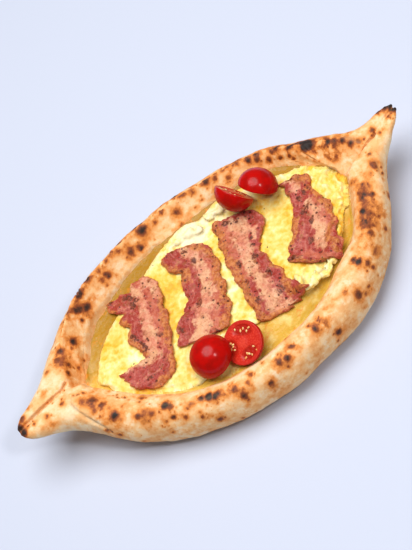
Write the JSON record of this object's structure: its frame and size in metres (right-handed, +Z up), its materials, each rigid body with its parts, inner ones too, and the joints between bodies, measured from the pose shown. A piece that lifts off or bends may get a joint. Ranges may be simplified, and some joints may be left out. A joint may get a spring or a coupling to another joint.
{
  "type": "khachapuri",
  "caption": "Boat-shaped cheese bread with pointed pinched ends and a raised rim, filled with cheese under an omelette, bacon rashers and halved cherry tomatoes.",
  "frame": {"origin": "on the flat underside, below the middle of the boat halfway between the two horn tips", "axes": "+X along the boat towards the slimmer, lower horn, +Y towards the far rim, whose side bulges less, +Z up"},
  "size_m": [0.3404, 0.182, 0.0592],
  "materials": {
    "crust": "baked bread crust, floured, with scorched spots",
    "cheese": "melted cheese, satin",
    "omelette": "soft cooked egg, satin",
    "bacon": "fried bacon with streaks of fat, greasy",
    "tomato": "smooth wet tomato skin"
  },
  "bodies": {
    "root": {"crust": "crust", "cheese": "cheese", "omelette": "omelette", "bacon_1": "bacon", "bacon_2": "bacon", "bacon_3": "bacon", "bacon_4": "bacon", "tomato_1": "tomato", "tomato_2": "tomato", "tomato_3": "tomato", "tomato_4": "tomato"}
  },
  "joints": []
}
